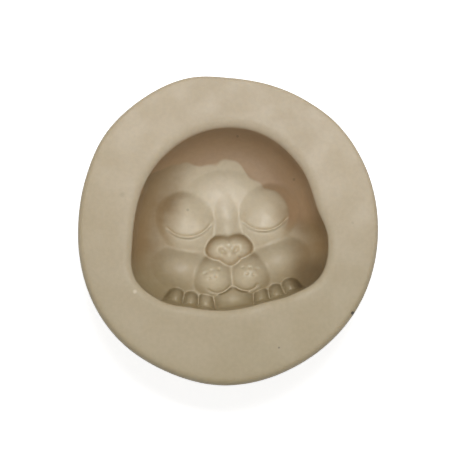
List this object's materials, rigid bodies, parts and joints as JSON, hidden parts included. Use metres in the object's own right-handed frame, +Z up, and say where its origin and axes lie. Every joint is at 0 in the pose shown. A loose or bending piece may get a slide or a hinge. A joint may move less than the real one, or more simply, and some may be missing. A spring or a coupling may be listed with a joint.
{
  "type": "silicone mold",
  "caption": "Round open-face block of beige silicone rubber, with a deep rounded cavity in its flat top that casts a small sleeping cub's face.",
  "frame": {"origin": "on the table, under the middle of the block's outline", "axes": "+Z up out of the open cavity, +Y towards the top of the cast face, +X to its right as seen from above"},
  "size_m": [0.0708, 0.073, 0.03],
  "materials": {
    "silicone": "satin, faintly translucent beige casting silicone"
  },
  "bodies": {
    "root": {"mold_body": "silicone"}
  },
  "joints": []
}
